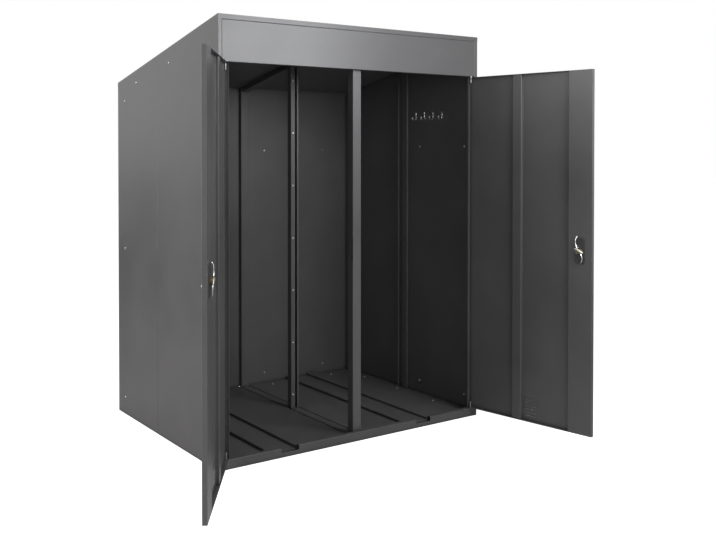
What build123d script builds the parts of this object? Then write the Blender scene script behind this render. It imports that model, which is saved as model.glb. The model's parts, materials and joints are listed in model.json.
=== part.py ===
"""Steel cabinet that stores two bikes standing upright, one in each bay, behind two hinged doors.

Millimetres, +Z up. The origin is the centre of the footprint on the ground and the front faces -Y.
The roof falls to the back. The doors stand open at rest, each turned about its own pivot pins.
"""
import os
from math import hypot

from build123d import *

# Overall sizes of the cabinet
width = 1640.0
depth = 1260.0
height = 2150.0
back_height = 1900.0
sheet = 1.5
bend = 1.5
overrun = 5.0

# Shell: side walls, back, roof and header
jamb = 22.0
jamb_return = 16.0
wall_fold = 20.0
seam_from_front = 700.0
roof_lip = 24.0
header_height = 224.0
header_fold = 26.0

# Floor: trays, sill, centre rail and wheel channels
floor_height = 22.0
sill_height = 46.0
sill_depth = 28.0
rail_width = 50.0
rail_gap = 8.0
channel_width = 96.0
channel_flange = 64.0
channel_rise = 13.0
notch_spare = 4.0

# Posts and beam of the frame inside
front_post_width = 52.0
front_post_depth = 46.0
mid_post_width = 52.0
mid_post_depth = 40.0
mid_post_wide_lip = 26.0
mid_post_narrow_lip = 12.0
mid_frame_from_front = 640.0
side_post_width = 50.0
side_post_depth = 14.0
corner_post_side = 30.0
back_post_width = 54.0
back_post_depth = 25.0
beam_width = 45.0
beam_depth = 30.0

# Doors, in a frame of their own: x from the pivot to the free edge, y inwards, z up
door_thickness = 22.0
door_gap = 8.0
door_end_gap = 5.0
post_gap = 6.5
door_meeting_gap = 6.0
door_lip = 9.0
pivot_from_edge = 12.0
pivot_from_face = 7.0
pin_radius = 4.0
pin_clearance = 0.06
pin_depth = 12.0
collar_radius = 6.5
collar_gap = 0.3
left_rest_angle = -124.0
right_rest_angle = 100.0
lock_stile_width = 136.0
stiffener_from_pivot = 290.0
stiffener_width = 54.0
stiffener_depth = 14.0
stiffener_foot = 6.0
vent_count = 6
vent_length = 90.0
vent_height = 5.0
vent_pitch = 18.0
vent_from_bottom = 31.0
vent_from_stiffener = 4.0

# Lock and turning latch of each door
lock_from_free_edge = 68.0
lock_above_middle = 10.0
lock_plate_width = 36.0
lock_plate_height = 102.0
lock_plate_depth = 5.0
lock_plate_corner = 6.0
inner_plate_width = 54.0
inner_plate_height = 130.0
inner_plate_depth = 4.0
barrel_radius = 11.0
barrel_clearance = 0.05
spindle_radius = 5.0
spindle_clearance = 0.06
hub_radius = 18.0
hub_gap = 0.3
hub_length = 14.0
arm_thickness = 4.0
arm_width = 9.0
arm_up = 74.0
arm_down = 62.0
arm_lean = 12.0
arm_bow = 12.0
lock_slot_height = 124.0
lock_slot_depth = 15.0
lock_slot_from_post_front = 2.5

# Row of coat hooks on each outer wall
hook_count = 4
hook_pitch = 81.0
hooks_from_top = 444.0
hooks_from_front = 425.0
hook_strap = 12.0
hook_thickness = 3.0
hook_back = 34.0
hook_radius = 14.0
hook_tip = 10.0

# Places that several pieces share
front = -depth / 2
back = depth / 2
half_width = width / 2
wall_top = height - roof_lip
roof_fall_share = (height - back_height) / depth
slant_share = hypot(depth, height - back_height) / depth
header_bottom = height - header_height
opening_half = half_width - jamb
wall_inner = half_width - sheet
seam = front + seam_from_front
back_outer = back - sheet
back_inner = back_outer - sheet
ceiling = height - sheet * slant_share
floor_front = front + sill_depth
tray_inner = rail_width / 2 + rail_gap
bay_centre = (tray_inner + wall_inner) / 2
mid_front = front + mid_frame_from_front
door_width = opening_half - door_gap - door_meeting_gap / 2
door_bottom = sill_height + door_end_gap
door_top = header_bottom - door_end_gap
door_height = door_top - door_bottom
door_edge_x = -pivot_from_edge
door_free_x = door_edge_x + door_width
door_outer_y = -pivot_from_face
door_skin_y = door_outer_y + sheet
door_inner_y = door_outer_y + door_thickness
hinge_x = opening_half - door_gap - pivot_from_edge
hinge_y = front + pivot_from_face
post_front = front + door_thickness + post_gap
lock_x = door_free_x - lock_from_free_edge
lock_z = (door_bottom + door_top) / 2 + lock_above_middle
hub_y = door_inner_y + inner_plate_depth + hub_gap

# Sloping planes: the foot of the roof's lip, the roof's underside and the foot of the beam
roof_normal = (0, roof_fall_share, 1)
lip_plane = Plane(origin=(0, front, wall_top), x_dir=(1, 0, 0), z_dir=roof_normal)
ceiling_plane = Plane(origin=(0, front, ceiling), x_dir=(1, 0, 0), z_dir=roof_normal)
beam_plane = Plane(origin=(0, front, ceiling - beam_depth), x_dir=(1, 0, 0), z_dir=roof_normal)


def save(piece, name):
    """Label a finished piece and write it as one STEP file."""
    piece.label = name
    export_step(piece, f"parts/{name}.step")


def save_pair(piece, name):
    """Write a left-hand piece and its mirror image on the right."""
    save(piece, f"{name}_left")
    save(mirror(piece, about=Plane.YZ), f"{name}_right")


def save_door_pair(piece, name):
    """Write a piece of the left door and its mirror image, each turned open about its own hinge."""
    left_hinge = Location((-hinge_x, hinge_y, 0), (0, 0, left_rest_angle))
    right_hinge = Location((hinge_x, hinge_y, 0), (0, 0, right_rest_angle))
    save(piece.moved(left_hinge), f"{name}_left")
    save(mirror(piece, about=Plane.YZ).moved(right_hinge), f"{name}_right")


def under(piece, plane):
    """What is left of a piece under a sloping plane."""
    with BuildPart() as low_end:
        add(piece)
        split(bisect_by=plane, keep=Keep.BOTTOM)
    return low_end.part


def bend_radii(points):
    """The radius of a folded sheet's drawn side at each corner: outside a left turn, inside a right turn."""
    radii = []
    for before, corner, after in zip(points, points[1:], points[2:]):
        run = Vector(*corner) - Vector(*before)
        turn = run.cross(Vector(*after) - Vector(*corner)).Z
        radii.append(bend + sheet if turn > 0 else bend)
    return radii


def folded(points, plane, length, direction=None):
    """A sheet folded along a line of points and drawn out to a length; it thickens to the line's left."""
    with BuildPart() as piece:
        with BuildSketch(plane):
            with BuildLine():
                FilletPolyline(*points, radius=bend_radii(points))
                offset(amount=sheet, side=Side.LEFT, kind=Kind.INTERSECTION)
            make_face()
        extrude(amount=length, dir=direction)
    return piece.part


os.makedirs("parts", exist_ok=True)

# Side walls: a front panel that folds round into the door jamb and a rear panel, joined at a seam
seam_foot_x = -half_width + wall_fold
with BuildPart() as side_wall_front:
    add(
        folded(
            [
                (seam_foot_x, seam),
                (-half_width, seam),
                (-half_width, front),
                (-opening_half, front),
                (-opening_half, front + jamb_return),
            ],
            Plane.XY,
            height,
        )
    )
    with BuildSketch(Plane.XY):
        with Locations((-wall_inner, seam)):
            Rectangle(wall_fold, wall_fold, align=(Align.MIN, Align.CENTER))
    extrude(amount=floor_height, mode=Mode.SUBTRACT)
save_pair(under(side_wall_front.part, lip_plane), "side_wall_front")

with BuildPart() as side_wall_rear:
    add(
        folded(
            [
                (seam_foot_x, back),
                (-half_width, back),
                (-half_width, seam),
                (seam_foot_x, seam),
            ],
            Plane.XY,
            height,
        )
    )
    with BuildSketch(Plane.XY):
        with Locations((-wall_inner, seam)):
            Rectangle(wall_fold, wall_fold, align=(Align.MIN, Align.CENTER))
    extrude(amount=floor_height, mode=Mode.SUBTRACT)
save_pair(under(side_wall_rear.part, lip_plane), "side_wall_rear")

# Back wall: two sheets inside the folds of the side walls, meeting behind the back post
with BuildPart() as back_wall:
    with BuildSketch(Plane.XY.offset(floor_height)):
        with Locations((-wall_inner + bend, back_inner)):
            Rectangle(wall_inner - bend, sheet, align=(Align.MIN, Align.MIN))
    extrude(amount=height)
save_pair(under(back_wall.part, lip_plane), "back_wall")

# Roof: a shallow sloping lid whose lip stands on the walls
with BuildPart() as roof:
    with BuildSketch(Plane.YZ.offset(-half_width)):
        with BuildLine():
            Polyline(
                (front, wall_top),
                (back, back_height - roof_lip),
                (back, back_height),
                (front, height),
                close=True,
            )
        make_face()
    extrude(amount=width)
    lid_inside = roof.faces().sort_by(SortBy.AREA)[-2:].sort_by(Axis.Z)[0]
    offset(amount=-sheet, openings=lid_inside)
save(roof.part, "roof")

# Header over the doors: a channel between the jambs, its top fold along the slope of the roof
header = folded(
    [
        (front + header_fold, wall_top - header_fold * roof_fall_share),
        (front, wall_top),
        (front, header_bottom),
        (front + header_fold, header_bottom),
    ],
    Plane.YZ.offset(-opening_half),
    2 * opening_half,
)
save(header, "header")

# Front sill: a low channel between the jambs, notched where each wheel rolls in
notch_bottom = floor_height + sheet
with BuildPart() as front_sill:
    add(
        folded(
            [
                (floor_front, 0),
                (floor_front, sill_height),
                (front, sill_height),
                (front, 0),
            ],
            Plane.YZ.offset(-opening_half),
            2 * opening_half,
        )
    )
    with BuildSketch(Plane.XY.offset(notch_bottom)):
        with Locations((-bay_centre, front), (bay_centre, front)):
            Rectangle(channel_width + notch_spare, 2 * sill_depth + overrun)
    extrude(amount=sill_height, mode=Mode.SUBTRACT)
save(front_sill.part, "front_sill")

# Floor: one tray in each bay, with the centre rail between them
with BuildPart() as floor_tray:
    with BuildSketch(Plane.XY):
        with Locations((-tray_inner, floor_front)):
            Rectangle(wall_inner - tray_inner, back_outer - floor_front, align=(Align.MAX, Align.MIN))
    extrude(amount=floor_height)
    fillet(floor_tray.edges().filter_by(Axis.Z).sort_by(Axis.Y)[-2:], radius=bend + sheet)
    offset(amount=-sheet, openings=floor_tray.faces().sort_by(Axis.Z)[0])
save_pair(floor_tray.part, "floor")

with BuildPart() as floor_rail:
    with BuildSketch(Plane.XZ.offset(-back_outer)):
        Rectangle(rail_width, floor_height, align=(Align.CENTER, Align.MIN))
        with Locations((0, sheet)):
            rail_bore = (rail_width - 2 * sheet, floor_height - 2 * sheet)
            Rectangle(*rail_bore, align=(Align.CENTER, Align.MIN), mode=Mode.SUBTRACT)
    extrude(amount=back_outer - floor_front)
save(floor_rail.part, "floor_rail")

# Wheel channels: folded strips with a raised flange on each side of the groove
channel_half = channel_width / 2
flange_edge = channel_half + channel_flange
flange_top = floor_height + channel_rise
wheel_channel = folded(
    [
        (-bay_centre - flange_edge, floor_height),
        (-bay_centre - flange_edge, flange_top),
        (-bay_centre - channel_half - sheet, flange_top),
        (-bay_centre - channel_half - sheet, floor_height),
        (-bay_centre + channel_half + sheet, floor_height),
        (-bay_centre + channel_half + sheet, flange_top),
        (-bay_centre + flange_edge, flange_top),
        (-bay_centre + flange_edge, floor_height),
    ],
    Plane.XZ.offset(-back_inner),
    back_inner - floor_front,
)
save_pair(wheel_channel, "wheel_channel")

# Posts along the middle: behind the doors' meeting edges, part way in, and at the back wall
front_post_half = front_post_width / 2
slot_y = post_front + lock_slot_from_post_front + lock_slot_depth / 2
with BuildPart() as front_post:
    add(
        folded(
            [
                (-front_post_half, post_front + front_post_depth),
                (-front_post_half, post_front),
                (front_post_half, post_front),
                (front_post_half, post_front + front_post_depth),
            ],
            Plane.XY.offset(floor_height),
            height,
        )
    )
    with BuildSketch(Plane.YZ):
        with Locations((slot_y, lock_z)):
            SlotOverall(lock_slot_height, lock_slot_depth, rotation=90)
    extrude(amount=front_post_width, both=True, mode=Mode.SUBTRACT)
save(under(front_post.part, beam_plane), "front_post")

mid_half = mid_post_width / 2
mid_post = folded(
    [
        (mid_half - mid_post_narrow_lip, mid_front),
        (mid_half, mid_front),
        (mid_half, mid_front + mid_post_depth),
        (-mid_half, mid_front + mid_post_depth),
        (-mid_half, mid_front),
        (-mid_half + mid_post_wide_lip, mid_front),
    ],
    Plane.XY.offset(floor_height),
    height,
)
save(under(mid_post, beam_plane), "mid_post")

back_post_half = back_post_width / 2
back_post_y = back_inner - back_post_depth
back_post = folded(
    [
        (-back_post_half, back_inner),
        (-back_post_half, back_post_y),
        (back_post_half, back_post_y),
        (back_post_half, back_inner),
    ],
    Plane.XY.offset(floor_height),
    height,
)
save(under(back_post, ceiling_plane), "back_post")

# Roof beam: a channel that follows the slope under the lid, from the header to the back post
beam_half = beam_width / 2
beam_run = back_post_y - front - header_fold
beam_top = ceiling - (back_post_y - front) * roof_fall_share
beam_foot = beam_top - beam_depth
roof_beam = folded(
    [
        (-beam_half, beam_top),
        (-beam_half, beam_foot),
        (beam_half, beam_foot),
        (beam_half, beam_top),
    ],
    Plane.XZ.offset(-back_post_y),
    beam_run * slant_share,
    (0, -1, roof_fall_share),
)
save(roof_beam, "roof_beam")

# Posts on the outer walls, level with the mid post, and covers in the back corners
side_post_y = mid_front - side_post_width / 2
side_post = folded(
    [
        (-wall_inner, side_post_y),
        (-wall_inner + side_post_depth, side_post_y),
        (-wall_inner + side_post_depth, side_post_y + side_post_width),
        (-wall_inner, side_post_y + side_post_width),
    ],
    Plane.XY.offset(floor_height),
    height,
)
save_pair(under(side_post, lip_plane), "side_post")

corner_y = back_inner - corner_post_side
corner_post = folded(
    [
        (-wall_inner, corner_y),
        (-wall_inner + corner_post_side, corner_y),
        (-wall_inner + corner_post_side, back_inner),
    ],
    Plane.XY.offset(floor_height),
    height,
)
save_pair(under(corner_post, lip_plane), "corner_post")

# Coat hooks: bent straps in a row on each outer wall
hook_middle_y = front + hooks_from_front
hook_height = height - hooks_from_top
hook_back_x = -wall_inner
hook_tip_x = hook_back_x + 2 * hook_radius
hook_low = (hook_back_x + hook_radius, hook_height - hook_radius)
with BuildPart() as hook_row:
    for index in range(hook_count):
        hook_y = hook_middle_y + (index - (hook_count - 1) / 2) * hook_pitch
        with BuildSketch(Plane.XZ.offset(-hook_y - hook_strap / 2)):
            with BuildLine():
                Line((hook_back_x, hook_height + hook_back), (hook_back_x, hook_height))
                ThreePointArc((hook_back_x, hook_height), hook_low, (hook_tip_x, hook_height))
                Line((hook_tip_x, hook_height), (hook_tip_x, hook_height + hook_tip))
                offset(amount=hook_thickness, side=Side.LEFT, kind=Kind.ARC)
            make_face()
        extrude(amount=hook_strap)
save_pair(hook_row.part, "hook_row")

# Pivot pins: one above and one below each door, the lower one with a collar that the door turns on
with BuildPart() as door_pins:
    with BuildSketch(Plane.XY.offset(sill_height)):
        with Locations((-hinge_x, hinge_y)):
            Circle(collar_radius)
    extrude(amount=door_end_gap - collar_gap)
    with BuildSketch(Plane.XY.offset(door_bottom - collar_gap)):
        with Locations((-hinge_x, hinge_y)):
            Circle(pin_radius)
    extrude(amount=pin_depth)
    with BuildSketch(Plane.XY.offset(header_bottom)):
        with Locations((-hinge_x, hinge_y)):
            Circle(pin_radius)
    extrude(amount=-(door_end_gap + pin_depth))
save_pair(door_pins.part, "door_pins")

# Door skin: a tray with its folds inwards, vent slots near the bottom and holes for pins and lock
vent_x = stiffener_from_pivot + stiffener_width + stiffener_foot + vent_from_stiffener + vent_length / 2
with BuildPart() as door_skin:
    with BuildSketch(Plane.XY.offset(door_bottom)):
        with Locations((door_edge_x, door_outer_y)):
            Rectangle(door_width, door_thickness, align=(Align.MIN, Align.MIN))
    extrude(amount=door_height)
    fillet(door_skin.edges().filter_by(Axis.Z).sort_by(Axis.Y)[:2], radius=bend + sheet)
    offset(amount=-sheet, openings=door_skin.faces().sort_by(Axis.Y)[-1])
    with BuildSketch(Plane.XY.offset(door_bottom)):
        Circle(pin_radius + pin_clearance)
    extrude(amount=door_height, mode=Mode.SUBTRACT)
    with BuildSketch(Plane.XZ.offset(-door_skin_y)):
        with Locations((lock_x, lock_z)):
            Circle(barrel_radius + barrel_clearance)
        for index in range(vent_count):
            vent_z = door_bottom + vent_from_bottom + index * vent_pitch
            with Locations((vent_x, vent_z)):
                Rectangle(vent_length, vent_height)
    extrude(amount=sheet, mode=Mode.SUBTRACT)
    with BuildSketch(Plane.XY.offset(door_bottom)):
        with Locations((door_edge_x, door_inner_y)):
            Rectangle(door_lip, sheet, align=(Align.MIN, Align.MAX))
    extrude(amount=door_height)
save_door_pair(door_skin.part, "door_skin")

# Lock stile: a plate that boxes in the free edge of the door
stile_end = door_free_x - sheet
stile_x = stile_end - lock_stile_width
inner_height = door_height - 2 * sheet
with BuildPart() as lock_stile:
    add(
        folded(
            [
                (stile_end, door_inner_y),
                (stile_x, door_inner_y),
                (stile_x, door_skin_y),
            ],
            Plane.XY.offset(door_bottom + sheet),
            inner_height,
        )
    )
    with BuildSketch(Plane.XZ.offset(-door_inner_y)):
        with Locations((lock_x, lock_z)):
            Circle(barrel_radius + barrel_clearance)
    extrude(amount=sheet, mode=Mode.SUBTRACT)
save_door_pair(lock_stile.part, "lock_stile")

# Stiffener: a hat section up the inside of the door
stiffener_end = stiffener_from_pivot + stiffener_width
stiffener_y = door_skin_y + stiffener_depth
door_stiffener = folded(
    [
        (stiffener_from_pivot - stiffener_foot, door_skin_y),
        (stiffener_from_pivot, door_skin_y),
        (stiffener_from_pivot, stiffener_y),
        (stiffener_end, stiffener_y),
        (stiffener_end, door_skin_y),
        (stiffener_end + stiffener_foot, door_skin_y),
    ],
    Plane.XY.offset(door_bottom + sheet),
    inner_height,
)
save_door_pair(door_stiffener, "door_stiffener")

# Lock: a plate on each face of the door, a barrel between them and a spindle for the latch
with BuildPart() as door_lock:
    with BuildSketch(Plane.XZ.offset(-door_outer_y)):
        with Locations((lock_x, lock_z)):
            RectangleRounded(lock_plate_width, lock_plate_height, lock_plate_corner)
    extrude(amount=lock_plate_depth)
    with BuildSketch(Plane.XZ.offset(-door_inner_y)):
        with Locations((lock_x, lock_z)):
            RectangleRounded(inner_plate_width, inner_plate_height, lock_plate_corner)
    extrude(amount=-inner_plate_depth)
    with BuildSketch(Plane.XZ.offset(-door_outer_y)):
        with Locations((lock_x, lock_z)):
            Circle(barrel_radius)
    extrude(amount=-door_thickness)
    with BuildSketch(Plane.XZ.offset(-door_inner_y)):
        with Locations((lock_x, lock_z)):
            Circle(spindle_radius)
    extrude(amount=-(hub_y + hub_length - door_inner_y))
save_door_pair(door_lock.part, "door_lock")

# Latch: a hub with two bowed arms, a long one up and a short one down, that turns on the spindle
arm_y = hub_y + hub_length
with BuildPart() as door_latch:
    with BuildSketch(Plane.XZ.offset(-hub_y)):
        with Locations((lock_x, lock_z)):
            Circle(hub_radius)
    extrude(amount=-hub_length)
    with BuildSketch(Plane.XZ.offset(-arm_y)):
        for side, reach in ((1, arm_up), (-1, arm_down)):
            tip = (lock_x - side * arm_lean, lock_z + side * reach)
            bow = (lock_x - side * (arm_lean / 2 + arm_bow), lock_z + side * reach / 2)
            with BuildLine(mode=Mode.PRIVATE) as arm_line:
                ThreePointArc((lock_x, lock_z), bow, tip)
            SlotArc(arm_line.edge(), arm_width)
    extrude(amount=arm_thickness)
    with BuildSketch(Plane.XZ.offset(-hub_y)):
        with Locations((lock_x, lock_z)):
            Circle(spindle_radius + spindle_clearance)
    extrude(amount=-hub_length, mode=Mode.SUBTRACT)
save_door_pair(door_latch.part, "door_latch")
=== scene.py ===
"""Looks of a two-bay steel bike cabinet: powder coat, plated latches and hooks, screws, locks and studio.

Metres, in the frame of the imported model: +Z up, the front faces -Y, the origin is on the ground.
"""
import json
import math

import bmesh
import bpy
from mathutils import Matrix, Vector


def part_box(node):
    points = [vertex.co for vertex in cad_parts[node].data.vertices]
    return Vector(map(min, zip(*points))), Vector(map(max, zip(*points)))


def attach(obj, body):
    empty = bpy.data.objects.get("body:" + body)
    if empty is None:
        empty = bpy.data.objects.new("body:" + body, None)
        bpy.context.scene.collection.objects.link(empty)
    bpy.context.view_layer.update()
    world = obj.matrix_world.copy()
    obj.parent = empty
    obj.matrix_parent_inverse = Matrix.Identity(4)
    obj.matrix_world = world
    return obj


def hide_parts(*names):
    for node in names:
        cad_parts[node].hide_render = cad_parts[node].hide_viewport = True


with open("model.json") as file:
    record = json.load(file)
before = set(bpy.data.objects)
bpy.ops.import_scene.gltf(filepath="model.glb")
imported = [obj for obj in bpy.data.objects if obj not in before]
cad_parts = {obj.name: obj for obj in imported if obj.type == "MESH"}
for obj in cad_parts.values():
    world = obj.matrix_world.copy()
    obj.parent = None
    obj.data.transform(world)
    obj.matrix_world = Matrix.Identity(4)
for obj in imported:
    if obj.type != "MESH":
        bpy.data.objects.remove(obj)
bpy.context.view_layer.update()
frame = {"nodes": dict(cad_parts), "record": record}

# Camera: the photograph's own place and lens
CAMERA_PLACE = (-2.7964, -4.4875, 1.5103)
CAMERA_YAW_DEG = 34.673
CAMERA_PITCH_DEG = -0.906
CAMERA_LENS_MM = 46.262
SENSOR_MM = 36.0
CAMERA_SHIFT = (0.0252, -0.1470)

# Sheet metal
SHEET = 0.0015
EDGE_ROUND = 0.0006
EDGE_SEGMENTS = 2
EDGE_ANGLE_DEG = 40
SHEET_FLATNESS = 100
WELD_REACH = 0.00002
SMOOTH_DEG = 35

# Screws; the head's profile is in shares of its radius and height
SCREW_HEAD_RADIUS = 0.0060
SCREW_HEAD_HEIGHT = 0.0030
SCREW_SEAT = 0.0003
RECESS_REACH_SHARE = 0.62
RECESS_WIDTH_SHARE = 0.17
RECESS_DEPTH_SHARE = 0.55
RECESS_FOOT_SHARE = 0.8
HEAD_PROFILE_SHARES = ((1.0, 0.30), (0.93, 0.66), (0.80, 0.90), (0.68, 1.0))
HEAD_SIDES = 20
SPIN_STEP_DEG = 37

# Places of the screws: (y, z) on the side walls, (x, z) on the back walls, (x, y) on the floors of both bays
MID_POST_SCREW_X = 0.013
MID_POST_SCREW_FOOT = 0.102
MID_POST_SCREW_TOP = 1.909
MID_POST_SCREW_COUNT = 7
INNER_WALL_SCREWS = ((-0.123, 1.532), (-0.524, 0.095), (-0.123, 0.095), (-0.524, 1.532))
OUTER_WALL_SCREWS = ((0.525, 1.790), (0.525, 0.098), (0.355, 1.885), (-0.08, 1.960), (0.525, 0.95))
BACK_WALL_SCREWS = ((0.153, 1.508), (0.60, 1.508), (0.153, 0.085), (0.60, 0.085))
FLOOR_SCREWS = ((0.762, -0.319), (0.762, 0.028), (0.762, 0.375), (0.172, 0.553), (0.62, 0.553))

# Vents near the foot of each door and the pressed hoods over them
VENT_COUNT = 6
VENT_PITCH = 0.018
VENT_LENGTH = 0.090
VENT_MIDDLE_X = 0.399
VENT_FROM_BOTTOM = 0.031
HOOD_SPARE = 0.004
HOOD_DEPTH = 0.0055
HOOD_ABOVE = 0.0060
HOOD_BELOW = 0.0035
HOOD_SHEET = 0.0010
HOOD_STATIONS = 25
HOOD_STEPS = 8
HOOD_END_POWER = 6

# Latch levers: two arms on a hub, with a pale band across its end that is a painted highlight
ARM_UP = 0.074
ARM_DOWN = 0.062
ARM_LEAN = 0.012
ARM_BOW = 0.012
ARM_HALF_WIDTH = 0.0045
ARM_HALF_THICKNESS = 0.0028
ARM_STATIONS = 28
ARM_SIDES = 16
TIP_SHARE = 0.70
TIP_TAPER = 0.25
ROUND_SHARE = 0.93
TIP_END_SHARE = 0.05
TANGENT_STEP = 0.01
UP_TIP_BEND = 0.0075
DOWN_TIP_BEND = 0.0015
HUB_RADIUS = 0.018
HUB_EDGE = 0.0008
HUB_DISH_SHARE = 0.8
BAND_HALF_LENGTH = 0.028
BAND_HALF_WIDTH = 0.0095
BAND_RISE = 0.0040
BAND_LEAN_DEG = 20.0
BAND_SHOULDER = 0.12
BAND_STEPS = 9
TURNED_SIDES = 48

# Lock plates: key cylinder outside, with its rim in shares of radius and rise, and four small screws inside
CYLINDER_RADIUS = 0.0115
CYLINDER_RISE = 0.0035
CYLINDER_DROP = 0.022
CYLINDER_SEAT = 0.0004
PLUG_FACE_SHARE = 0.72
RIM_SHARES = ((1.0, 0.6), (0.92, 1.0), (0.80, 1.0), (0.77, PLUG_FACE_SHARE), (0.70, PLUG_FACE_SHARE))
KEYWAY_WIDTH = 0.0022
KEYWAY_LENGTH = 0.0115
KEYWAY_DEPTH = 0.0024
PLATE_SCREW_X = 0.019
PLATE_SCREW_Z = 0.056
PLATE_SCREW_SCALE = 0.62
HUB_GAP = 0.0003

# Bushes that the pivot pins turn in
BUSH_BORE = 0.0043
BUSH_RADIUS = 0.0053
BUSH_LENGTH = 0.030

# Grain of the powder coat: pebbles, ripples, specks and slow drifts of tone
PEBBLE_SCALE = 620.0
PEBBLE_SMOOTHNESS = 0.8
RIPPLE_SCALE = 160.0
RIPPLE_SHARE = 0.6
DRIFT_SCALE = 2.4
DRIFT_RANGE = (0.3, 0.7)
SPECK_SCALE = 240.0
SPECK_RANGE = (0.35, 0.65)

# Worn edges, on the coat also a painted highlight: how far the rounded and flat normals agree where the
# lightening starts and where it is full
WEAR_AND_HIGHLIGHT_AGREEMENT = (0.995, 0.86)
WEAR_AND_HIGHLIGHT_PATCH_SCALE = 34.0
WEAR_AND_HIGHLIGHT_PATCH_RANGE = (0.35, 0.65)
WEAR_AND_HIGHLIGHT_SAMPLES = 4

# Dust, scuffs, and painted shade in creases
DUST_SLOPE_RANGE = (0.55, 0.95)
DUST_PATCH_RANGE = (0.3, 0.72)
DUST_FINE_SCALE = 420.0
DUST_FINE_RANGE = (0.3, 0.7)
DUST_THINNEST = 0.6
STREAK_STRETCH = (1.0, 0.045, 1.0)
STREAK_RANGE = (0.52, 0.74)
SCUFF_PATCH_SCALE = 5.0
SCUFF_PATCH_RANGE = (0.4, 0.65)
PAINTED_SHADE_OPEN_RANGE = (0.85, 0.30)
PAINTED_SHADE_SAMPLES = 6

# Powder coat
ANTHRACITE = (0.112, 0.111, 0.112)
FLOOR_GREY = (0.098, 0.097, 0.097)
# Lighter tone of the coat's edges: bare steel where it is worn, and a painted highlight along the rounded
# edges
BARE_EDGE_AND_HIGHLIGHT = (0.20, 0.198, 0.195, 1.0)
SPECK_TONE = (0.16, 0.16, 0.165, 1.0)
DUST_TONE = (0.20, 0.19, 0.175, 1.0)
SCUFF_TONE = (0.17, 0.165, 0.16, 1.0)
# Near black of the painted shade in creases, gaps and inner corners
PAINTED_SHADE_TONE = (0.012, 0.012, 0.012, 1.0)
PALE_SHARE, DEEP_SHARE = 1.12, 0.90
SPECK_SHARE = 0.12
COAT_WEAR_AND_HIGHLIGHT_SHARE = 0.55
ROUGHNESS_DRIFT = (-0.04, 0.05)
DUST_ROUGHENS = 0.3
SCUFF_ROUGHENS = 0.12
PAINTED_SHADE_REACH = 0.03
PAINTED_SHADE_AMOUNT = 0.75

# Plated metal and lock plates
POLISHED_EDGE = (0.9, 0.9, 0.88, 1.0)
POLISH_SHARE = 0.4
BLOOM_RANGE = (0.35, 0.7)
BLOOM_ROUGHENS = 0.08
PLATING_GRAIN_SCALE = 900.0
LOCK_DARK = (0.052, 0.052, 0.053, 1.0)
LOCK_PALE = (0.070, 0.070, 0.071, 1.0)
LOCK_EDGE = (0.12, 0.12, 0.12, 1.0)
LOCK_WEAR_SHARE = 0.6
LOCK_ROUGHNESS = (0.30, 0.40)

# Sockets of the colour mix node
MIX_SHARE, MIX_FIRST, MIX_SECOND, MIX_RESULT = 0, 6, 7, 2

# Studio: white to look at, with softboxes as name, place, aim, size, watts and tint
AMBIENT = 0.08
FLOOR_GLOW = 0.94
FLOOR_WHITE = (0.86, 0.86, 0.86, 1)
FLOOR_ROUGHNESS = 0.9
FLOOR_SIZE = 40.0
FLOOR_DROP = 0.0005
SOFTBOXES = (
    ("key_front_right", (0.7, -2.95, 2.36), (-0.3, -0.6, 1.8), (1.4, 1.1), 48, (0.96, 0.97, 1.0)),
    ("wide_left", (-5.3, -0.55, 2.0), (-0.8, -0.2, 1.1), (3.2, 2.6), 140, (1.0, 0.97, 0.96)),
    ("front_low", (-0.4, -4.2, 0.45), (0.0, -0.6, 0.1), (2.6, 0.5), 6, (1, 1, 1)),
    ("beside_camera", (-2.5, -4.55, 1.95), (0.6, -0.2, 1.6), (0.7, 0.8), 15, (1, 1, 1)),
    ("overhead", (0.0, 0.8, 5.2), (0.0, 0.4, 0.0), (3.0, 3.0), 60, (1, 1, 1)),
)

nodes = frame["nodes"]
joints = {joint["name"]: joint for joint in frame["record"]["behaviour"]["joints"]}
SIDES = (("left", -1), ("right", 1))
FRONT, UP = Vector((0, -1, 0)), Vector((0, 0, 1))


def node_box(name):
    """Lowest and highest corner of a node at rest."""
    low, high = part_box(name)
    return Vector(low), Vector(high)


def door_frame(side, sign):
    """A door's own frame at rest: X from the pivot to the free edge, Y inwards, Z up from the ground."""
    hinge = Vector(joints[f"{side}_door_hinge"]["pos_m"])
    lock = Vector(joints[f"{side}_latch_turn"]["pos_m"])
    along = Vector((lock.x - hinge.x, lock.y - hinge.y, 0)).normalized()
    inward = -sign * UP.cross(along)
    turn = Matrix((along, inward, UP)).transposed().to_4x4()
    return Matrix.Translation((hinge.x, hinge.y, 0)) @ turn


def box_in(name, place):
    """Lowest and highest corner of a node in another frame."""
    back = place.inverted()
    points = [back @ vertex.co for vertex in nodes[name].data.vertices]
    low = Vector([min(point[axis] for point in points) for axis in range(3)])
    high = Vector([max(point[axis] for point in points) for axis in range(3)])
    return low, high


def lock_in(side):
    """Where a door's latch turns, in the door's own frame."""
    return DOORS[side].inverted() @ Vector(joints[f"{side}_latch_turn"]["pos_m"])


DOORS = {side: door_frame(side, sign) for side, sign in SIDES}


# Shader helpers
def shader_group(name, inputs, outputs):
    """A new shader node group with named float inputs and named outputs; returns it with its end nodes."""
    group = bpy.data.node_groups.new(name, "ShaderNodeTree")
    for label, value in inputs:
        socket = group.interface.new_socket(name=label, in_out="INPUT", socket_type="NodeSocketFloat")
        socket.default_value = value
    for label, kind in outputs:
        group.interface.new_socket(name=label, in_out="OUTPUT", socket_type=kind)
    enter = group.nodes.new("NodeGroupInput")
    leave = group.nodes.new("NodeGroupOutput")
    return group, enter, leave


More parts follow.
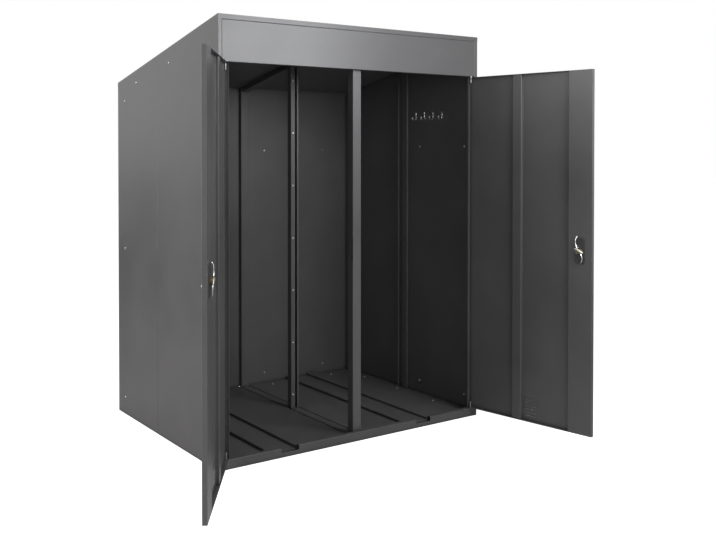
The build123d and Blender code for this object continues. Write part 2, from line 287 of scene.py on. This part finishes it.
def add(tree, kind, **values):
    """A node with its properties and, by socket name or number, its input values or links."""
    node = tree.nodes.new(kind)
    links = values.pop("inputs", {})
    for key, value in values.items():
        setattr(node, key, value)
    for key, value in links.items():
        if isinstance(value, bpy.types.NodeSocket):
            tree.links.new(value, node.inputs[key])
        else:
            node.inputs[key].default_value = value
    return node


def sums(tree, operation, first, second, clamp=False):
    """The output of a two-input math node."""
    node = add(tree, "ShaderNodeMath", operation=operation, use_clamp=clamp, inputs={0: first, 1: second})
    return node.outputs[0]


def spread(tree, value, low, high, to_low=0.0, to_high=1.0):
    """A value mapped from one range to another and held inside it."""
    node = add(
        tree,
        "ShaderNodeMapRange",
        inputs={"Value": value, "From Min": low, "From Max": high, "To Min": to_low, "To Max": to_high},
    )
    return node.outputs["Result"]


def noise(tree, place, scale, detail=2.0, roughness=0.5):
    """The factor of a noise texture at a place."""
    node = add(
        tree,
        "ShaderNodeTexNoise",
        inputs={"Vector": place, "Scale": scale, "Detail": detail, "Roughness": roughness},
    )
    return node.outputs["Fac"]


def stretched(tree, place, scale):
    """A place stretched along each axis by a scale."""
    node = add(tree, "ShaderNodeMapping", inputs={"Vector": place, "Scale": scale})
    return node.outputs["Vector"]


def mixed(tree, share, first, second):
    """A colour mixed from two by a share."""
    node = add(tree, "ShaderNodeMix", data_type="RGBA")
    for key, value in ((MIX_SHARE, share), (MIX_FIRST, first), (MIX_SECOND, second)):
        if isinstance(value, bpy.types.NodeSocket):
            tree.links.new(value, node.inputs[key])
        else:
            node.inputs[key].default_value = value
    return node.outputs[MIX_RESULT]


# Effects that several finishes share
def powder_grain_group():
    """Fine pebble of a powder coat, with slow drifts of tone and gloss."""
    group, enter, leave = shader_group(
        "powder_grain",
        [("Pebble Scale", PEBBLE_SCALE), ("Drift Scale", DRIFT_SCALE)],
        [("Height", "NodeSocketFloat"), ("Drift", "NodeSocketFloat"), ("Speck", "NodeSocketFloat")],
    )
    place = add(group, "ShaderNodeTexCoord").outputs["Object"]
    pebble = add(
        group,
        "ShaderNodeTexVoronoi",
        feature="SMOOTH_F1",
        inputs={"Vector": place, "Scale": enter.outputs["Pebble Scale"], "Smoothness": PEBBLE_SMOOTHNESS},
    ).outputs["Distance"]
    ripple = sums(group, "MULTIPLY", noise(group, place, RIPPLE_SCALE), RIPPLE_SHARE)
    group.links.new(sums(group, "ADD", pebble, ripple), leave.inputs["Height"])
    drift = noise(group, place, enter.outputs["Drift Scale"], detail=4.0, roughness=0.55)
    group.links.new(spread(group, drift, *DRIFT_RANGE), leave.inputs["Drift"])
    speck = noise(group, place, SPECK_SCALE, detail=1.0)
    group.links.new(spread(group, speck, *SPECK_RANGE), leave.inputs["Speck"])
    return group


def edge_wear_and_highlight_group():
    """Mask of edges and folds, broken up by noise: where the coat is thin, and where the coat's lighter edge
    is a painted highlight.
    """
    group, enter, leave = shader_group(
        "edge_wear_and_highlight",
        [("Reach", 0.003), ("Break Up", 0.5)],
        [("Mask", "NodeSocketFloat")],
    )
    rounded = add(
        group, "ShaderNodeBevel", samples=WEAR_AND_HIGHLIGHT_SAMPLES, inputs={"Radius": enter.outputs["Reach"]}
    ).outputs[0]
    flat = add(group, "ShaderNodeNewGeometry").outputs["Normal"]
    agreement = add(
        group, "ShaderNodeVectorMath", operation="DOT_PRODUCT", inputs={0: rounded, 1: flat}
    ).outputs["Value"]
    edge = spread(group, agreement, *WEAR_AND_HIGHLIGHT_AGREEMENT)
    place = add(group, "ShaderNodeTexCoord").outputs["Object"]
    patches = noise(group, place, WEAR_AND_HIGHLIGHT_PATCH_SCALE, detail=5.0, roughness=0.65)
    patches = spread(group, patches, *WEAR_AND_HIGHLIGHT_PATCH_RANGE)
    kept = sums(group, "MULTIPLY", patches, enter.outputs["Break Up"])
    kept = sums(group, "ADD", kept, sums(group, "SUBTRACT", 1.0, enter.outputs["Break Up"]))
    group.links.new(sums(group, "MULTIPLY", edge, kept, True), leave.inputs["Mask"])
    return group


def settled_dust_group():
    """Mask of dust that lies on faces that look up, thicker in patches."""
    group, enter, leave = shader_group(
        "settled_dust",
        [("Amount", 0.5), ("Patch Scale", 9.0)],
        [("Mask", "NodeSocketFloat")],
    )
    normal = add(group, "ShaderNodeNewGeometry").outputs["Normal"]
    upward = add(group, "ShaderNodeSeparateXYZ", inputs={0: normal}).outputs["Z"]
    lying = spread(group, upward, *DUST_SLOPE_RANGE)
    place = add(group, "ShaderNodeTexCoord").outputs["Object"]
    patches = noise(group, place, enter.outputs["Patch Scale"], detail=6.0, roughness=0.62)
    patches = spread(group, patches, *DUST_PATCH_RANGE)
    fine = spread(group, noise(group, place, DUST_FINE_SCALE), *DUST_FINE_RANGE, to_low=DUST_THINNEST)
    dust = sums(group, "MULTIPLY", sums(group, "MULTIPLY", lying, patches), fine)
    group.links.new(sums(group, "MULTIPLY", dust, enter.outputs["Amount"], True), leave.inputs["Mask"])
    return group


def wheel_scuff_group():
    """Mask of rubbed streaks that run in and out along the floor."""
    group, enter, leave = shader_group(
        "wheel_scuff",
        [("Amount", 0.5), ("Streak Scale", 60.0)],
        [("Mask", "NodeSocketFloat")],
    )
    place = add(group, "ShaderNodeTexCoord").outputs["Object"]
    along = stretched(group, place, STREAK_STRETCH)
    streaks = noise(group, along, enter.outputs["Streak Scale"], detail=4.0, roughness=0.6)
    streaks = spread(group, streaks, *STREAK_RANGE)
    patches = spread(group, noise(group, place, SCUFF_PATCH_SCALE, detail=3.0), *SCUFF_PATCH_RANGE)
    rubbed = sums(group, "MULTIPLY", streaks, patches)
    group.links.new(sums(group, "MULTIPLY", rubbed, enter.outputs["Amount"], True), leave.inputs["Mask"])
    return group


def crease_painted_shade_group():
    """Mask of painted shade in folds, gaps and inner corners."""
    group, enter, leave = shader_group(
        "crease_painted_shade",
        [("Reach", 0.03), ("Amount", 0.6)],
        [("Mask", "NodeSocketFloat")],
    )
    open_share = add(
        group,
        "ShaderNodeAmbientOcclusion",
        samples=PAINTED_SHADE_SAMPLES,
        inputs={"Distance": enter.outputs["Reach"]},
    ).outputs["AO"]
    closed = spread(group, open_share, *PAINTED_SHADE_OPEN_RANGE)
    group.links.new(sums(group, "MULTIPLY", closed, enter.outputs["Amount"], True), leave.inputs["Mask"])
    return group


powder_grain = powder_grain_group()
edge_wear_and_highlight = edge_wear_and_highlight_group()
settled_dust = settled_dust_group()
wheel_scuff = wheel_scuff_group()
crease_painted_shade = crease_painted_shade_group()


def use(tree, group, **values):
    """A group placed in a material, with its own values by socket name."""
    node = tree.nodes.new("ShaderNodeGroup")
    node.node_tree = group
    for key, value in values.items():
        node.inputs[key.replace("_", " ")].default_value = value
    return node.outputs


def finish_material(name):
    """An empty node material with its shader."""
    material = bpy.data.materials.new(name)
    material.use_nodes = True
    tree = material.node_tree
    shader = tree.nodes["Principled BSDF"]
    return material, tree, shader


def bumped(tree, shader, height, strength, distance):
    """Raise a finish by a height."""
    bump = add(
        tree, "ShaderNodeBump", inputs={"Strength": strength, "Distance": distance, "Height": height}
    )
    tree.links.new(bump.outputs[0], shader.inputs["Normal"])


def coat_material(name, colour, roughness, dust, scuffs=0.0):
    """Powder coat on sheet steel: pebbled, drifting in tone, thin and lighter on edges as wear and painted
    highlight, dusty on top, and darkened in creases by painted shade.
    """
    material, tree, shader = finish_material(name)
    grain = use(tree, powder_grain)
    wear_and_highlight = use(tree, edge_wear_and_highlight, Reach=0.0025, Break_Up=0.6)["Mask"]
    lying = use(tree, settled_dust, Amount=dust)["Mask"]
    pale = tuple(channel * PALE_SHARE for channel in colour) + (1.0,)
    deep = tuple(channel * DEEP_SHARE for channel in colour) + (1.0,)
    tone = mixed(tree, grain["Drift"], deep, pale)
    speckled = mixed(tree, sums(tree, "MULTIPLY", grain["Speck"], SPECK_SHARE), tone, SPECK_TONE)
    # Lighter edges: wear of the coat, and a painted highlight along the rounded edges
    worn_and_lit_tone = mixed(tree, sums(tree, "MULTIPLY", wear_and_highlight, COAT_WEAR_AND_HIGHLIGHT_SHARE), speckled, BARE_EDGE_AND_HIGHLIGHT)
    dusty = mixed(tree, lying, worn_and_lit_tone, DUST_TONE)
    band = [roughness + drift for drift in ROUGHNESS_DRIFT]
    rough = spread(tree, grain["Drift"], 0.0, 1.0, *band)
    rough = sums(tree, "ADD", rough, sums(tree, "MULTIPLY", lying, DUST_ROUGHENS), True)
    if scuffs:
        rubbed = use(tree, wheel_scuff, Amount=scuffs)["Mask"]
        dusty = mixed(tree, rubbed, dusty, SCUFF_TONE)
        rough = sums(tree, "ADD", rough, sums(tree, "MULTIPLY", rubbed, SCUFF_ROUGHENS), True)
    # Painted shade: creases, gaps and inner corners are darkened towards near black by how closed they are
    painted_shade = use(tree, crease_painted_shade, Reach=PAINTED_SHADE_REACH, Amount=PAINTED_SHADE_AMOUNT)["Mask"]
    tree.links.new(mixed(tree, painted_shade, dusty, PAINTED_SHADE_TONE), shader.inputs["Base Color"])
    tree.links.new(rough, shader.inputs["Roughness"])
    bumped(tree, shader, grain["Height"], strength=0.10, distance=0.0006)
    return material


def metal_material(name, colour, dull, roughness, scale):
    """Plated metal with finger smears and a duller bloom in patches."""
    material, tree, shader = finish_material(name)
    place = add(tree, "ShaderNodeTexCoord").outputs["Object"]
    bloom = spread(tree, noise(tree, place, scale, detail=4.0, roughness=0.6), *BLOOM_RANGE)
    wear_and_highlight = use(tree, edge_wear_and_highlight, Reach=0.001, Break_Up=0.4)["Mask"]
    tone = mixed(tree, bloom, colour + (1.0,), dull + (1.0,))
    bright = mixed(tree, sums(tree, "MULTIPLY", wear_and_highlight, POLISH_SHARE), tone, POLISHED_EDGE)
    tree.links.new(bright, shader.inputs["Base Color"])
    rough = spread(tree, bloom, 0.0, 1.0, roughness, roughness + BLOOM_ROUGHENS)
    tree.links.new(rough, shader.inputs["Roughness"])
    shader.inputs["Metallic"].default_value = 1.0
    bumped(tree, shader, noise(tree, place, PLATING_GRAIN_SCALE), strength=0.05, distance=0.0002)
    return material


def lock_case_material():
    """Dark satin metal of the lock plates."""
    material, tree, shader = finish_material("lock_case_black")
    grain = use(tree, powder_grain, Pebble_Scale=1400.0, Drift_Scale=18.0)
    wear_and_highlight = use(tree, edge_wear_and_highlight, Reach=0.0015, Break_Up=0.5)["Mask"]
    tone = mixed(tree, grain["Drift"], LOCK_DARK, LOCK_PALE)
    worn = mixed(tree, sums(tree, "MULTIPLY", wear_and_highlight, LOCK_WEAR_SHARE), tone, LOCK_EDGE)
    tree.links.new(worn, shader.inputs["Base Color"])
    tree.links.new(spread(tree, grain["Speck"], 0.0, 1.0, *LOCK_ROUGHNESS), shader.inputs["Roughness"])
    bumped(tree, shader, grain["Height"], strength=0.06, distance=0.0003)
    return material


cabinet_coat = coat_material("cabinet_coat", ANTHRACITE, roughness=0.33, dust=0.4)
floor_coat = coat_material("floor_coat", FLOOR_GREY, roughness=0.46, dust=0.5, scuffs=0.5)
bright_chrome = metal_material(
    "bright_chrome", colour=(0.78, 0.78, 0.77), dull=(0.66, 0.66, 0.65), roughness=0.10, scale=30.0
)
dull_steel = metal_material(
    "dull_steel", colour=(0.34, 0.34, 0.33), dull=(0.24, 0.24, 0.23), roughness=0.42, scale=90.0
)
satin_nickel = metal_material(
    "satin_nickel", colour=(0.95, 0.95, 0.93), dull=(0.88, 0.88, 0.86), roughness=0.17, scale=60.0
)
zinc_plate = metal_material(
    "zinc_plate", colour=(0.70, 0.70, 0.69), dull=(0.55, 0.55, 0.53), roughness=0.26, scale=90.0
)
hub_brass = metal_material(
    "hub_brass", colour=(0.17, 0.145, 0.085), dull=(0.11, 0.09, 0.05), roughness=0.34, scale=60.0
)
# Pale brass of the band on the hub's end, a painted highlight
painted_highlight_band = metal_material(
    "painted_highlight_band", colour=(0.80, 0.77, 0.68), dull=(0.66, 0.62, 0.52), roughness=0.32, scale=60.0
)
lock_black = lock_case_material()

FLOOR_NODES = (
    "floor_left",
    "floor_right",
    "floor_rail",
    "wheel_channel_left",
    "wheel_channel_right",
    "front_sill",
)
SLOT_FINISH = {
    "grey_paint": cabinet_coat,
    "chrome": satin_nickel,
    "pin_steel": zinc_plate,
    "lock_metal": lock_black,
}


def dress_nodes():
    """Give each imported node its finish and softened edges."""
    for part in frame["record"]["subparts"]:
        name = part["node"]
        node = nodes[name]
        finish = floor_coat if name in FLOOR_NODES else SLOT_FINISH[part["material_slot"]]
        for slot in node.material_slots:
            slot.material = finish
        weld = node.modifiers.new("weld", "WELD")
        weld.merge_threshold = WELD_REACH
        bevel = node.modifiers.new("soft_edges", "BEVEL")
        bevel.width = EDGE_ROUND
        bevel.segments = EDGE_SEGMENTS
        bevel.limit_method = "ANGLE"
        bevel.angle_limit = math.radians(EDGE_ANGLE_DEG)
        normals = node.modifiers.new("flat_sheets", "WEIGHTED_NORMAL")
        normals.mode = "FACE_AREA"
        normals.weight = SHEET_FLATNESS


dress_nodes()


# Pieces that scene.py adds
def piece_from(bm, name, body, material):
    """A mesh piece made from a bmesh, set to ride on a body."""
    bmesh.ops.recalc_face_normals(bm, faces=bm.faces)
    mesh = bpy.data.meshes.new(name)
    bm.to_mesh(mesh)
    bm.free()
    mesh.materials.append(material)
    piece = bpy.data.objects.new(name, mesh)
    bpy.context.scene.collection.objects.link(piece)
    mesh.shade_smooth()
    mesh.set_sharp_from_angle(angle=math.radians(SMOOTH_DEG))
    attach(piece, body)
    return piece


def facing(place, direction):
    """A frame at a place whose Z points along a direction."""
    turn = Vector(direction).to_track_quat("Z", "Y").to_matrix().to_4x4()
    return Matrix.Translation(Vector(place)) @ turn


def ring(bm, radius, height, sides):
    """A ring of points round Z."""
    points = []
    for index in range(sides):
        angle = math.tau * index / sides
        points.append(bm.verts.new((radius * math.cos(angle), radius * math.sin(angle), height)))
    return points


def bridge(bm, low, high):
    """Quads between two rings with as many points."""
    count = len(low)
    for index in range(count):
        after = (index + 1) % count
        bm.faces.new((low[index], low[after], high[after], high[index]))


def turned(bm, profile, sides):
    """A turned skin round Z from (radius, height) points; returns its rings."""
    rings = [ring(bm, radius, height, sides) for radius, height in profile]
    for low, high in zip(rings, rings[1:]):
        bridge(bm, low, high)
    return rings


def capped(bm, rings):
    """Close both ends of a skin."""
    bm.faces.new(rings[0])
    bm.faces.new(rings[-1])


def filled_between(bm, outer, inner):
    """Fill the flat ring between two closed rows of points."""
    edges = []
    for row in (inner, outer):
        edges += [bm.edges.get((a, b)) for a, b in zip(row, row[1:] + row[:1])]
    bmesh.ops.triangle_fill(bm, use_beauty=True, edges=edges)


def turned_tube(bm, inner, outer, low, high, sides):
    """A plain tube round Z."""
    rings = turned(bm, [(inner, low), (outer, low), (outer, high), (inner, high)], sides)
    bridge(bm, rings[-1], rings[0])


def placed(bm, before, place):
    """Move the points that were added after a set was noted."""
    bmesh.ops.transform(bm, matrix=place, verts=[vertex for vertex in bm.verts if vertex not in before])


def screw_head():
    """A pan head with a cross recess, seated on Z = 0."""
    bm = bmesh.new()
    r, h = SCREW_HEAD_RADIUS, SCREW_HEAD_HEIGHT
    profile = [(r, -SCREW_SEAT)] + [(wide * r, tall * h) for wide, tall in HEAD_PROFILE_SHARES]
    rings = turned(bm, profile, HEAD_SIDES)
    bm.faces.new(list(reversed(rings[0])))
    reach, half = RECESS_REACH_SHARE * r, RECESS_WIDTH_SHARE * r
    corners = []
    for quarter in range(4):
        turn = Matrix.Rotation(math.tau * quarter / 4, 3, "Z")
        corners += [turn @ Vector(p) for p in ((reach, -half, h), (reach, half, h), (half, half, h))]
    rim = [bm.verts.new(p) for p in corners]
    depth = Vector((0, 0, RECESS_DEPTH_SHARE * h))
    taper = Vector((RECESS_FOOT_SHARE, RECESS_FOOT_SHARE, 1))
    pit = [bm.verts.new(p * taper - depth) for p in corners]
    bridge(bm, pit, rim)
    bm.faces.new(pit)
    filled_between(bm, rings[-1], rim)
    mesh = bpy.data.meshes.new("screw_head_pattern")
    bm.to_mesh(mesh)
    bm.free()
    return mesh


SCREW = screw_head()


def screws(name, seats, body="cabinet", scale=1.0, finish=zinc_plate):
    """A joined set of screw heads, each at a place and facing a direction."""
    bm = bmesh.new()
    for index, (place, direction) in enumerate(seats):
        spin = Matrix.Rotation(math.radians(SPIN_STEP_DEG * index), 4, "Z")
        seat = facing(place, direction) @ spin @ Matrix.Scale(scale, 4)
        before = set(bm.verts)
        bm.from_mesh(SCREW)
        placed(bm, before, seat)
    piece_from(bm, name, body, finish)


def spaced(start, end, count):
    """Evenly spaced values from start to end."""
    return [start + (end - start) * index / (count - 1) for index in range(count)]


def cabinet_screws():
    """Screws of the frame inside, the inner walls, the floor and the outer walls."""
    post = node_box("mid_post")[0]
    heights = spaced(MID_POST_SCREW_FOOT, MID_POST_SCREW_TOP, MID_POST_SCREW_COUNT)
    screws("mid_post_screws", [((post.x + MID_POST_SCREW_X, post.y, z), FRONT) for z in heights])
    for side, sign in SIDES:
        wall_low, wall_high = node_box(f"side_wall_front_{side}")
        outer = wall_low.x if sign < 0 else wall_high.x
        inner = outer - sign * SHEET
        inward, outward = Vector((-sign, 0, 0)), Vector((sign, 0, 0))
        back, floor = node_box(f"back_wall_{side}")[0], node_box(f"floor_{side}")[1]
        screws(f"inner_wall_screws_{side}", [((inner, y, z), inward) for y, z in INNER_WALL_SCREWS])
        screws(f"outer_wall_screws_{side}", [((outer, y, z), outward) for y, z in OUTER_WALL_SCREWS])
        screws(f"back_wall_screws_{side}", [((sign * x, back.y, z), FRONT) for x, z in BACK_WALL_SCREWS])
        screws(f"floor_screws_{side}", [((sign * x, y, floor.z), UP) for x, y in FLOOR_SCREWS])


def vent_hoods(side):
    """Pressed hoods over a door's vents, standing out from its outer face and open below."""
    place = DOORS[side]
    low = box_in(f"door_skin_{side}", place)[0]
    half = VENT_LENGTH / 2 + HOOD_SPARE
    bm = bmesh.new()
    for index in range(VENT_COUNT):
        middle = low.z + VENT_FROM_BOTTOM + index * VENT_PITCH
        rows = []
        for turn in spaced(-math.pi / 2, math.pi / 2, HOOD_STATIONS):
            along = math.sin(turn)
            swell = math.sqrt(max(0.0, 1 - along ** HOOD_END_POWER))
            row = []
            for angle in spaced(0, math.pi / 2, HOOD_STEPS):
                out = swell * HOOD_DEPTH * (1 - math.cos(angle))
                drop = (HOOD_ABOVE + HOOD_BELOW) * math.sin(angle)
                point = Vector((VENT_MIDDLE_X + along * half, low.y - out, middle + HOOD_ABOVE - drop))
                row.append(bm.verts.new(place @ point))
            rows.append(row)
        for first, second in zip(rows, rows[1:]):
            for step in range(HOOD_STEPS - 1):
                bm.faces.new((first[step], first[step + 1], second[step + 1], second[step]))
    piece = piece_from(bm, f"vent_hoods_{side}", f"{side}_door", cabinet_coat)
    skin = piece.modifiers.new("sheet", "SOLIDIFY")
    skin.thickness = HOOD_SHEET
    skin.offset = 0.0


def bowed(bow, tip, share):
    """A point at a share of the curve from the origin through a bow to a tip."""
    control = 2 * bow - tip / 2
    return 2 * share * (1 - share) * control + share * share * tip


def lever_arm(bm, reach, way, plane_y, bend):
    """One bowed arm of a latch, oval in section, whose tip narrows and bends towards the door."""
    tip = Vector((-way * ARM_LEAN, 0, way * reach))
    bow = Vector((-way * (ARM_LEAN / 2 + ARM_BOW), 0, way * reach / 2))
    rows = []
    for turn in spaced(0.0, math.pi / 2, ARM_STATIONS):
        share = math.sin(turn)
        middle = bowed(bow, tip, share)
        along = (bowed(bow, tip, share + TANGENT_STEP) - middle).normalized()
        across = Vector((along.z, 0, -along.x))
        last = max(0.0, (share - TIP_SHARE) / (1 - TIP_SHARE))
        middle.y = plane_y - bend * last ** 2
        closing = max(0.0, (share - ROUND_SHARE) / (1 - ROUND_SHARE))
        size = (1 - TIP_TAPER * last) * max(math.sqrt(1 - closing ** 2), TIP_END_SHARE)
        row = []
        for index in range(ARM_SIDES):
            angle = math.tau * index / ARM_SIDES
            wide = across * ARM_HALF_WIDTH * size * math.cos(angle)
            thick = Vector((0, ARM_HALF_THICKNESS * size * math.sin(angle), 0))
            row.append(bm.verts.new(middle + wide + thick))
        rows.append(row)
    for first, second in zip(rows, rows[1:]):
        bridge(bm, first, second)
    capped(bm, rows)


def latch_lever(side):
    """The turning lever of a door's latch: two arms on a hub, with an oblique pale band across its end, a
    painted highlight.
    """
    place = DOORS[side]
    low, high = box_in(f"door_latch_{side}", place)
    lock = lock_in(side)
    seat = place @ Matrix.Translation((lock.x, 0, lock.z))
    hub_turn = place @ Matrix.Translation((lock.x, low.y, lock.z)) @ Matrix.Rotation(-math.pi / 2, 4, "X")
    length = high.y - low.y
    bm = bmesh.new()
    lever_arm(bm, ARM_UP, 1, high.y - ARM_HALF_THICKNESS, UP_TIP_BEND)
    lever_arm(bm, ARM_DOWN, -1, high.y - ARM_HALF_THICKNESS, DOWN_TIP_BEND)
    placed(bm, set(), seat)
    lever = piece_from(bm, f"latch_lever_{side}", f"{side}_latch", bright_chrome)
    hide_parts(f"door_latch_{side}")
    bm = bmesh.new()
    hub = [(HUB_RADIUS - HUB_EDGE, 0), (HUB_RADIUS, HUB_EDGE), (HUB_RADIUS, length - HUB_EDGE)]
    hub += [(HUB_RADIUS - HUB_EDGE, length), (HUB_RADIUS * HUB_DISH_SHARE, length - HUB_EDGE)]
    capped(bm, turned(bm, hub, TURNED_SIDES))
    placed(bm, set(), hub_turn)
    piece_from(bm, f"latch_hub_{side}", f"{side}_latch", hub_brass)
    # Painted highlight: a pale oblique band on the hub's end, where light catches it
    bm = bmesh.new()
    dome = [(1.0, length - HUB_EDGE), (1.0, length + HUB_EDGE)]
    dome += [
        (math.cos(angle), length + HUB_EDGE + BAND_RISE * math.sin(angle))
        for angle in spaced(BAND_SHOULDER, math.pi / 2 - BAND_SHOULDER, BAND_STEPS)
    ]
    capped(bm, turned(bm, dome, TURNED_SIDES))
    lean = Matrix.Rotation(math.radians(BAND_LEAN_DEG), 4, "Z")
    placed(bm, set(), hub_turn @ lean @ Matrix.Diagonal((BAND_HALF_LENGTH, BAND_HALF_WIDTH, 1, 1)))
    piece_from(bm, f"latch_painted_highlight_{side}", f"{side}_latch", painted_highlight_band)


def key_cylinder(side):
    """The key cylinder in a door's outer plate: a turned rim, a plug and a keyway cut into it."""
    place = DOORS[side]
    low = box_in(f"door_lock_{side}", place)[0]
    lock = lock_in(side)
    centre = Matrix.Translation((lock.x, low.y, lock.z - CYLINDER_DROP))
    seat = place @ centre @ Matrix.Rotation(math.pi / 2, 4, "X")
    r, h = CYLINDER_RADIUS, CYLINDER_RISE
    bm = bmesh.new()
    profile = [(r, -CYLINDER_SEAT)] + [(wide * r, tall * h) for wide, tall in RIM_SHARES]
    rings = turned(bm, profile, TURNED_SIDES)
    bm.faces.new(rings[0])
    half_w, half_l, face = KEYWAY_WIDTH / 2, KEYWAY_LENGTH / 2, PLUG_FACE_SHARE * h
    corners = [(-half_w, -half_l), (half_w, -half_l), (half_w, half_l), (-half_w, half_l)]
    rim = [bm.verts.new((x, y, face)) for x, y in corners]
    pit = [bm.verts.new((x, y, face - KEYWAY_DEPTH)) for x, y in corners]
    bridge(bm, pit, rim)
    bm.faces.new(pit)
    filled_between(bm, rings[-1], rim)
    placed(bm, set(), seat)
    piece_from(bm, f"key_cylinder_{side}", f"{side}_door", zinc_plate)


def plate_screws(side):
    """Four small screws in the corners of a door's inner lock plate."""
    place = DOORS[side]
    low = box_in(f"door_latch_{side}", place)[0]
    lock = lock_in(side)
    inward = place.to_3x3() @ Vector((0, 1, 0))
    seats = []
    for x in (-PLATE_SCREW_X, PLATE_SCREW_X):
        for z in (-PLATE_SCREW_Z, PLATE_SCREW_Z):
            seats.append((place @ Vector((lock.x + x, low.y - HUB_GAP, lock.z + z)), inward))
    screws(f"lock_plate_screws_{side}", seats, f"{side}_door", PLATE_SCREW_SCALE, lock_black)


def hinge_bushes(side):
    """Bushes inside the top and foot of a door, round the pivot pins."""
    place = DOORS[side]
    low, high = box_in(f"door_skin_{side}", place)
    bm = bmesh.new()
    for start, direction in ((high.z - SHEET, -1), (low.z + SHEET, 1)):
        ends = sorted((start, start + direction * BUSH_LENGTH))
        before = set(bm.verts)
        turned_tube(bm, BUSH_BORE, BUSH_RADIUS, ends[0], ends[1], TURNED_SIDES)
        placed(bm, before, place)
    piece_from(bm, f"hinge_bushes_{side}", f"{side}_door", dull_steel)


cabinet_screws()
for door_side in DOORS:
    vent_hoods(door_side)
    latch_lever(door_side)
    key_cylinder(door_side)
    plate_screws(door_side)
    hinge_bushes(door_side)


# Studio
def make_camera():
    """The camera where the photograph was taken from."""
    data = bpy.data.cameras.new("photo_camera")
    data.sensor_fit = "HORIZONTAL"
    data.sensor_width = SENSOR_MM
    data.lens = CAMERA_LENS_MM
    data.shift_x, data.shift_y = CAMERA_SHIFT
    camera = bpy.data.objects.new("photo_camera", data)
    camera.location = CAMERA_PLACE
    camera.rotation_euler = (math.radians(90 + CAMERA_PITCH_DEG), 0, -math.radians(CAMERA_YAW_DEG))
    bpy.context.scene.collection.objects.link(camera)
    bpy.context.scene.camera = camera


def soft_light(name, place, aim, size, watts, tint):
    """A rectangular softbox that looks at a point and stays out of the picture."""
    data = bpy.data.lights.new(name, "AREA")
    data.shape = "RECTANGLE"
    data.size, data.size_y = size
    data.energy = watts
    data.color = tint
    lamp = bpy.data.objects.new(name, data)
    lamp.location = place
    lamp.rotation_euler = (Vector(aim) - Vector(place)).to_track_quat("-Z", "Y").to_euler()
    lamp.visible_camera = False
    bpy.context.scene.collection.objects.link(lamp)


def seen_directly(tree):
    """1 for rays from the camera, a mirror or glass, otherwise 0."""
    path = add(tree, "ShaderNodeLightPath").outputs
    seen = sums(tree, "MAXIMUM", path["Is Camera Ray"], path["Is Glossy Ray"])
    return sums(tree, "MAXIMUM", seen, path["Is Transmission Ray"])


def make_world():
    """White to look at, and a dimmer soft light on the object."""
    world = bpy.data.worlds.new("white_studio")
    bpy.context.scene.world = world
    world.use_nodes = True
    tree = world.node_tree
    background = tree.nodes["Background"]
    background.inputs["Color"].default_value = (1, 1, 1, 1)
    tree.links.new(spread(tree, seen_directly(tree), 0, 1, AMBIENT, 1.0), background.inputs["Strength"])


def make_floor():
    """A pale floor that reads white round the object and keeps its shadow."""
    bm = bmesh.new()
    bmesh.ops.create_grid(bm, x_segments=1, y_segments=1, size=FLOOR_SIZE)
    mesh = bpy.data.meshes.new("studio_floor")
    bm.to_mesh(mesh)
    bm.free()
    floor = bpy.data.objects.new("studio_floor", mesh)
    floor.location.z = -FLOOR_DROP
    bpy.context.scene.collection.objects.link(floor)
    material, tree, shader = finish_material("studio_floor_white")
    shader.inputs["Base Color"].default_value = FLOOR_WHITE
    shader.inputs["Roughness"].default_value = FLOOR_ROUGHNESS
    shader.inputs["Specular IOR Level"].default_value = 0.0
    shader.inputs["Emission Color"].default_value = (1, 1, 1, 1)
    glow = sums(tree, "MULTIPLY", add(tree, "ShaderNodeLightPath").outputs["Is Camera Ray"], FLOOR_GLOW)
    tree.links.new(glow, shader.inputs["Emission Strength"])
    mesh.materials.append(material)


bpy.context.scene.view_settings.view_transform = "Standard"
make_camera()
make_world()
make_floor()
for softbox in SOFTBOXES:
    soft_light(*softbox)
